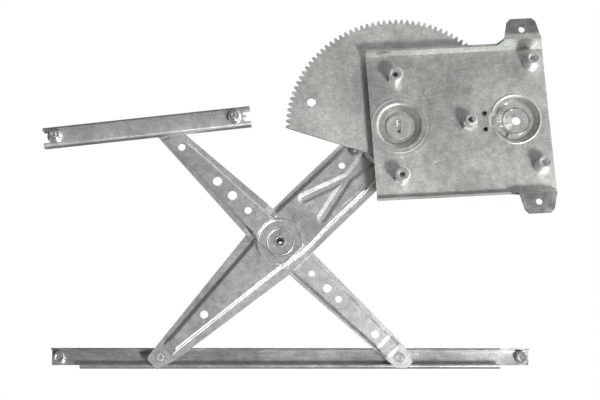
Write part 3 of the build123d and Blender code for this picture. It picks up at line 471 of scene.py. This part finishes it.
materials = {
    "plate": plate_steel(),
    "sector": sector_steel(),
    "arm": lift_arm_steel(),
    "front_arm": front_arm_steel(),
    "rear_arm": rear_arm_steel(),
    "lift_rail": lift_rail_steel(),
    "guide_rail": guide_rail_steel(),
    "head": hub_steel(),
    "turned": turned_metal("turned_steel", 0.88, COOL, 0.28, 0.85),
    "fastener": turned_metal("bright_zinc", 0.70, COOL, 0.24, 0.85),
    # Painted shade: the cross pivot hub is coloured near black, for the shade in the pocket round it
    "oiled": turned_metal("shade_painted_steel", 0.14, NEUTRAL, 0.35),
    "spring": turned_metal("spring_steel", 0.34, NEUTRAL, 0.38),
    "bearing": turned_metal("sintered_bronze", 0.50, WARM, 0.45),
    "roller": roller_nylon(),
}

# The CAD nodes: any other node gets the turned metal
NODE_MATERIAL = {
    "base_plate": "plate",
    "sector_gear": "sector",
    "lift_arm": "arm",
    "equalizer_front_arm": "front_arm",
    "equalizer_rear_arm": "rear_arm",
    "lift_rail": "lift_rail",
    "guide_rail": "guide_rail",
    "pivot_hub": "head",
    "lift_rail_bolts": "fastener",
    "guide_rail_studs": "fastener",
    "guide_rail_nuts": "fastener",
    "cross_pivot_hub": "oiled",
    "counterbalance_spring": "spring",
    "thrust_washer": "bearing",
    "sector_bush": "bearing",
    "lift_arm_bush": "bearing",
    "cross_pivot_bush": "bearing",
    "lift_roller": "roller",
    "guide_roller": "roller",
    "rail_roller": "roller",
}

# How wide edges are rounded, in metres: SMALL_EDGE on any piece that isn't named
SMALL_EDGE = 0.0003
EDGE = {
    "base_plate": 0.0007,
    "lift_arm": 0.0009,
    "equalizer_front_arm": 0.0008,
    "equalizer_rear_arm": 0.0008,
    "lift_rail": 0.0005,
    "guide_rail": 0.0005,
    "sector_gear": 0.0002,
}

# Pressings with shallow creases, which are rounded too
CREASED = ("lift_arm", "equalizer_front_arm", "equalizer_rear_arm")
CREASE_ANGLE = 9
EDGE_ANGLE = 32


def soften_edges(piece, width, angle=EDGE_ANGLE, segments=2):
    """Rounds the edges that are sharper than an angle a little, as pressed and turned edges are."""
    flat = piece.modifiers.new("flatten", "DECIMATE")
    flat.decimate_type = "DISSOLVE"
    flat.angle_limit = math.radians(1.0)
    round_edges = piece.modifiers.new("edges", "BEVEL")
    round_edges.width = width
    round_edges.segments = segments
    round_edges.limit_method = "ANGLE"
    round_edges.angle_limit = math.radians(angle)
    round_edges.use_clamp_overlap = True
    round_edges.harden_normals = False
    normals = piece.modifiers.new("normals", "WEIGHTED_NORMAL")
    normals.keep_sharp = False
    normals.weight = 80
    piece.data.shade_smooth()


def dress_nodes():
    for name, node in nodes.items():
        node.data.materials.clear()
        node.data.materials.append(materials[NODE_MATERIAL.get(name, "turned")])
        if name in CREASED:
            soften_edges(node, EDGE[name], CREASE_ANGLE, segments=3)
        else:
            soften_edges(node, EDGE.get(name, SMALL_EDGE))


def add_piece(name, shape, material, body, node):
    """Makes a bmesh a piece that rides on a body and stands for a CAD node."""
    bmesh.ops.recalc_face_normals(shape, faces=shape.faces)
    mesh = bpy.data.meshes.new(name)
    shape.to_mesh(mesh)
    shape.free()
    mesh.materials.append(materials[material])
    piece = bpy.data.objects.new(name, mesh)
    bpy.context.scene.collection.objects.link(piece)
    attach(piece, body)
    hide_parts(node)
    return piece


# Round profiles: rows of (depth behind the piece's front end, radius at an angle), in millimetres

SIDES = 48
PITCH = 1.0
ROWS_PER_PITCH = 8
THREAD_DEPTH = 0.32

# The share of half a pitch that is flat at a thread's crest, and again at its root
CREST = 0.1


def plain(*points):
    """Rows of a round profile from (depth, radius) points."""
    return [(depth, lambda angle, radius=radius: radius) for depth, radius in points]


def bend_of(before, corner, after, size, steps=3):
    """Rows that round one corner of a round profile."""
    def along(a, b):
        length = math.hypot(b[0] - a[0], b[1] - a[1])
        return (a[0] + (b[0] - a[0]) * size / length, a[1] + (b[1] - a[1]) * size / length)

    start = along(corner, before)
    end = along(corner, after)
    points = []
    for i in range(steps + 1):
        t = i / steps
        points.append([(1 - t) ** 2 * a + 2 * t * (1 - t) * b + t ** 2 * c
                       for a, b, c in zip(start, corner, end)])
    return plain(*points)


def hexagon(depth, flats, cap):
    """One row of a hexagon cut back to a circle of radius cap at its corners."""
    def radius(angle):
        fold = (angle + math.pi / 6) % (math.pi / 3) - math.pi / 6
        return min(cap, flats / 2 / math.cos(fold))
    return [(depth, radius)]


def hexagon_with_chamfer(front, back, flats):
    """Rows of a hexagon from front to back, with the round chamfer of a bolt head at its front."""
    steps = 5
    slope = math.tan(math.radians(30))
    inner = flats / 2 * 0.95
    outer = flats / 2 / math.cos(math.pi / 6)
    rows = []
    for i in range(steps + 1):
        cap = inner + (outer - inner) * i / steps
        rows += hexagon(front + (cap - inner) * slope, flats, cap)
    return rows + hexagon(back, flats, outer)


def thread(start, end, radius, inward):
    """Rows of a screw thread between two depths: inward is 1 in a bore and -1 on a shank."""
    count = round(abs(end - start) * ROWS_PER_PITCH / PITCH)
    rows = []
    for i in range(count + 1):
        depth = start + (end - start) * i / count
        fade = min(1.0, i / ROWS_PER_PITCH, (count - i) / ROWS_PER_PITCH)

        def groove(angle, depth=depth, fade=fade):
            turn = (depth / PITCH - angle / (2 * math.pi)) % 1.0
            flank = min(1.0, max(0.0, (abs(2 * turn - 1) - CREST) / (1 - 2 * CREST)))
            return radius + inward * THREAD_DEPTH * flank * fade
        rows.append((depth, groove))
    return rows


BORE = 2.5
SPIGOT = 3.9
POST_LENGTH = 20.0
PLATE_FRONT = 18.0
SHANK = 3.0
HEAD_FLATS = 10.0


def post_bore(mouth):
    """A standoff's staked spigot and its threaded bore, back to front, with a countersunk mouth."""
    countersink = mouth - BORE
    return (plain((PLATE_FRONT, SPIGOT), (POST_LENGTH - 0.2, SPIGOT),
                  (POST_LENGTH, SPIGOT - 0.2), (POST_LENGTH, 3.1), (POST_LENGTH - 0.6, BORE))
            + thread(POST_LENGTH - 0.8, countersink + 0.2, BORE, 1)
            + plain((countersink, BORE), (0.0, mouth)))


def door_standoff_rows():
    """A hexagonal post with a round collar at its front."""
    collar = 6.8
    collar_back = 2.4
    flats = 11.0
    return (plain((0.0, 4.2))
            + bend_of((0, 4.2), (0, collar), (collar_back, collar), 0.9, steps=4)
            + bend_of((0, collar), (collar_back, collar), (collar_back, 5), 0.3)
            + hexagon(collar_back, flats, 6.35) + hexagon(PLATE_FRONT, flats, 6.35)
            + post_bore(4.0))


def middle_standoff_rows():
    """A round neck that widens to a hexagonal post."""
    neck = 4.9
    neck_back = 5.5
    flats = 12.4
    steps = 6
    rows = plain((0.0, 3.7)) + bend_of((0, 3.5), (0, neck), (neck_back, neck), 0.5)
    rows += plain((neck_back - 0.2, neck))
    for step in range(steps):
        widening = 0.45 * step
        rows += hexagon(neck_back + widening, flats, neck + widening)
    return rows + hexagon(PLATE_FRONT, flats, 7.16) + post_bore(3.5)


def cone_standoff_rows():
    """A conical post with a short cylinder at its front and a foot at its back."""
    top = 5.7
    lip = 2.0
    foot = 8.0
    foot_front = 16.0
    return (plain((0.0, 4.6))
            + bend_of((0, 4.0), (0, top), (lip, top), 0.5)
            + bend_of((0, top), (lip, top), (foot_front, foot), 0.4)
            + bend_of((lip, top), (foot_front, foot), (PLATE_FRONT, foot), 0.6)
            + plain((PLATE_FRONT, foot))
            + post_bore(4.3))


def rail_bolt_rows():
    """A bolt with a dished hexagon head, a flange and a chamfered end."""
    return (plain((0.9, 0.3), (0.9, 2.4), (0.5, 3.1), (0.0, 3.4), (0.0, 4.3))
            + hexagon_with_chamfer(0.0, 4.0, HEAD_FLATS)
            + plain((4.3, 5.78), (4.8, 5.95), (5.2, 6.0), (5.6, 5.8), (5.6, 3.2), (7.1, 3.2), (7.2, SHANK))
            + thread(7.3, 20.4, SHANK, -1)
            + plain((20.5, 2.95), (21.1, 2.3), (21.1, 0.3)))


def rail_nut_rows():
    """A hexagon nut with a flange at its back."""
    return (plain((0.0, 3.7), (0.0, 4.3))
            + hexagon_with_chamfer(0.0, 4.6, HEAD_FLATS)
            + plain((4.9, 5.8), (5.4, 6.65), (5.8, 6.8), (6.2, 6.6), (6.2, 3.2), (5.8, 3.05), (0.7, 3.05)))


def rail_stud_rows():
    """A stud with a dimpled end and a low head at its back."""
    return (plain((0.5, 0.3), (0.45, 1.0), (0.0, 1.5), (0.0, 2.2), (0.7, 2.95))
            + thread(0.8, 9.4, SHANK, -1)
            + plain((9.6, SHANK), (11.1, SHANK), (11.1, 4.9), (11.3, 5.2), (11.9, 5.2), (12.1, 4.9),
                    (12.1, 0.3)))


# Pieces that stand for CAD nodes

def solids_of(node):
    """The lowest and highest corner of each separate solid in a CAD node, from left to right."""
    mesh = nodes[node].data
    places = {}
    owner = [places.setdefault(tuple(round(c, 6) for c in v.co), len(places)) for v in mesh.vertices]
    group = list(range(len(places)))

    def head(i):
        while group[i] != i:
            i = group[i]
        return i

    for edge in mesh.edges:
        a, b = (head(owner[v]) for v in edge.vertices)
        group[a] = b
    solids = {}
    for vertex, i in zip(mesh.vertices, owner):
        solids.setdefault(head(i), []).append(vertex.co)
    boxes = []
    for points in solids.values():
        low = Vector(min(p[axis] for p in points) for axis in range(3))
        high = Vector(max(p[axis] for p in points) for axis in range(3))
        boxes.append((low, high))
    return sorted(boxes, key=lambda corners: corners[0].x)


def ring_of(shape, centre, front, row, turn):
    """The vertices of one row of a profile, round an axis along Y through a centre."""
    depth, radius = row
    ring = []
    for i in range(SIDES):
        angle = 2 * math.pi * i / SIDES
        way = angle + math.radians(turn)
        out = radius(angle) / 1000
        ring.append(shape.verts.new((centre.x + out * math.cos(way), front + depth / 1000,
                                     centre.z + out * math.sin(way))))
    return ring


def turned_piece(name, node, body, material, rows, turn, hollow):
    """Stands for a CAD node: each of its solids becomes the same rows turned about its own axis.

    turn is how far its hexagons are turned, in degrees, and hollow says that the rows make a loop."""
    shape = bmesh.new()
    for low, high in solids_of(node):
        rings = [ring_of(shape, (low + high) / 2, low.y, row, turn) for row in rows]
        if hollow:
            rings.append(rings[0])
        else:
            shape.faces.new(rings[0])
            shape.faces.new(reversed(rings[-1]))
        for near, far in zip(rings, rings[1:]):
            for i in range(SIDES):
                shape.faces.new((near[i - 1], near[i], far[i], far[i - 1]))
    piece = add_piece(name, shape, material, body, node)
    piece.data.shade_smooth()
    piece.data.set_sharp_from_angle(angle=math.radians(28))


def fasteners():
    """The standoffs, bolts, studs and nuts, with their threads, chamfers and countersinks."""
    turned_piece("threaded_door_standoffs", "door_standoffs", "base", "turned",
                 door_standoff_rows(), turn=PLATE_TILT, hollow=True)
    turned_piece("threaded_middle_standoff", "motor_standoff_middle", "base", "turned",
                 middle_standoff_rows(), turn=PLATE_TILT + 15, hollow=True)
    turned_piece("threaded_cone_standoffs", "motor_standoffs_outer", "base", "turned",
                 cone_standoff_rows(), turn=PLATE_TILT, hollow=True)
    turned_piece("threaded_rail_bolts", "lift_rail_bolts", "lift_rail", "fastener",
                 rail_bolt_rows(), turn=12, hollow=False)
    turned_piece("threaded_rail_nuts", "guide_rail_nuts", "guide_rail", "fastener",
                 rail_nut_rows(), turn=GUIDE_TILT + 20, hollow=True)
    turned_piece("threaded_rail_studs", "guide_rail_studs", "guide_rail", "fastener",
                 rail_stud_rows(), turn=GUIDE_TILT, hollow=False)


# The spring's tang: the straight stretch above the middle of the hub, up to where the coils start
HALF_TANG = 0.0011
TANG_END = 0.0088


def is_tang(face):
    middle = face.calc_center_median()
    return abs(middle.x) < HALF_TANG and 0 < middle.z < TANG_END


def spring_part(name, body, of_tang):
    """The tang or the coils of the spring, cut from its CAD solid and closed again."""
    shape = bmesh.new()
    shape.from_mesh(nodes["counterbalance_spring"].data)
    bmesh.ops.remove_doubles(shape, verts=shape.verts, dist=1e-6)
    bmesh.ops.bisect_plane(shape, geom=shape.verts[:] + shape.edges[:] + shape.faces[:],
                           plane_co=(0, 0, TANG_END), plane_no=(0, 0, 1))
    others = [face for face in shape.faces if is_tang(face) != of_tang]
    bmesh.ops.delete(shape, geom=others, context="FACES")
    bmesh.ops.holes_fill(shape, edges=[edge for edge in shape.edges if edge.is_boundary])
    piece = add_piece(name, shape, "spring", body, "counterbalance_spring")
    soften_edges(piece, SMALL_EDGE)


def split_spring():
    """The spring's tang stays in the hub's slot while its coils turn with the lift arm."""
    spring_part("spring_tang", "base", of_tang=True)
    spring_part("spring_coils", "lift", of_tang=False)


# Studio

FLOOR_LEVEL = -1.0
FLOOR_HALF = 4.0
WORLD_FILL = 0.09


def area_light(name, place, target, size, power):
    data = bpy.data.lights.new(name, "AREA")
    data.shape = "RECTANGLE"
    data.size, data.size_y = size
    data.energy = power
    light = bpy.data.objects.new(name, data)
    light.location = place
    light.visible_camera = False
    light.rotation_euler = (Vector(target) - Vector(place)).to_track_quat("-Z", "Y").to_euler()
    bpy.context.scene.collection.objects.link(light)


def seen_rays(tree):
    """1 for the camera's rays and for rays that metal reflects or glass lets through."""
    path = tree.nodes.new("ShaderNodeLightPath")
    seen = path.outputs["Is Camera Ray"]
    for other in ("Is Glossy Ray", "Is Transmission Ray"):
        either = tree.nodes.new("ShaderNodeMath")
        either.operation = "MAXIMUM"
        tree.links.new(seen, either.inputs[0])
        tree.links.new(path.outputs[other], either.inputs[1])
        seen = either.outputs[0]
    return seen


def world_light(fill_strength):
    """White for the camera and for reflections, and a weaker fill for everything else."""
    world = bpy.data.worlds.new("world")
    bpy.context.scene.world = world
    world.use_nodes = True
    tree = world.node_tree
    tree.nodes.clear()
    shaders = []
    for strength in (fill_strength, 1.0):
        background = tree.nodes.new("ShaderNodeBackground")
        background.inputs["Color"].default_value = (1, 1, 1, 1)
        background.inputs["Strength"].default_value = strength
        shaders.append(background.outputs[0])
    mix = tree.nodes.new("ShaderNodeMixShader")
    out = tree.nodes.new("ShaderNodeOutputWorld")
    tree.links.new(seen_rays(tree), mix.inputs["Fac"])
    tree.links.new(shaders[0], mix.inputs[1])
    tree.links.new(shaders[1], mix.inputs[2])
    tree.links.new(mix.outputs[0], out.inputs["Surface"])


def flat_sheet(name, low, high, material):
    """A stage piece: the rectangle between two opposite corners, flat along the axis they share."""
    flat = [axis for axis in range(3) if low[axis] == high[axis]][0]
    across, up = (axis for axis in range(3) if axis != flat)
    corners = []
    for side, level in ((low, low), (high, low), (high, high), (low, high)):
        corner = list(low)
        corner[across] = side[across]
        corner[up] = level[up]
        corners.append(corner)
    mesh = bpy.data.meshes.new(name)
    mesh.from_pydata(corners, [], [(0, 1, 2, 3)])
    mesh.materials.append(material)
    made = bpy.data.objects.new(name, mesh)
    bpy.context.scene.collection.objects.link(made)
    return made


def card(name, low, high, level):
    """A dark card that the metal reflects. The camera doesn't see it, and it casts no shadow."""
    s = Shader(name + "_cloth")
    s.colour(s.span(s.noise(2.0, 4.0, 0.6), 0.3, 0.7, level * 0.9, level * 1.1), NEUTRAL)
    s.set("Roughness", 0.9)
    made = flat_sheet(name, low, high, s.material)
    made.visible_camera = False
    made.visible_shadow = False


def pale_floor():
    """A pale grey floor, which the camera and the metal see nearly white."""
    s = Shader("floor_paint")
    s.colour(s.span(s.noise(3.0, 4.0, 0.6), 0.3, 0.7, 0.80, 0.83), NEUTRAL)
    s.set("Roughness", 0.7)
    glow = s.node("ShaderNodeEmission", {"Color": (0.96, 0.96, 0.96, 1.0), "Strength": 1.0})
    mix = s.node("ShaderNodeMixShader", {"Fac": s.times(seen_rays(s.tree), 0.85)})
    s.link(s.surface.outputs["BSDF"], mix.inputs[1])
    s.link(glow.outputs["Emission"], mix.inputs[2])
    s.link(mix.outputs["Shader"], s.output.inputs["Surface"])
    flat_sheet("floor", (-FLOOR_HALF, -FLOOR_HALF, FLOOR_LEVEL),
               (FLOOR_HALF, FLOOR_HALF, FLOOR_LEVEL), s.material)


def lamps():
    """A key light from the lower right, soft lights in front, right, below and behind."""
    area_light("key", (0.72, -1.40, -0.88), (0.0, 0.03, -0.06), (0.32, 0.32), 32.0)
    area_light("front", (0.0, -1.75, 0.45), (0.0, 0.0, 0.45), (3.2, 1.2), 2.7)
    area_light("right", (1.5, -0.7, 0.35), (0.0, 0.0, -0.05), (1.2, 1.5), 7.0)
    area_light("low", (0.0, -0.3, -0.86), (0.0, -0.3, 1.0), (2.4, 1.4), 3.0)
    area_light("back", (0.3, 1.3, 0.6), (-0.1, 0.03, -0.05), (1.0, 1.0), 8.0)


def cards():
    """Dark cards above, in front, below, to the left and behind."""
    card("card_above", (-1.6, -1.7, 1.1), (0.3, 0.6, 1.1), 0.05)
    card("card_front", (-1.7, -1.8, -0.98), (1.7, -1.8, 1.1), 0.08)
    card("card_low", (-1.6, -1.7, -0.9), (1.7, 1.1, -0.9), 0.06)
    card("card_left", (-1.3, -1.6, -0.3), (-1.3, 0.3, 1.0), 0.05)
    card("card_back", (-1.5, 1.0, -0.98), (1.8, 1.0, 0.2), 0.10)


add_camera()
dress_nodes()
fasteners()
split_spring()
world_light(WORLD_FILL)
lamps()
cards()
pale_floor()

bpy.context.scene.view_settings.view_transform = "Standard"
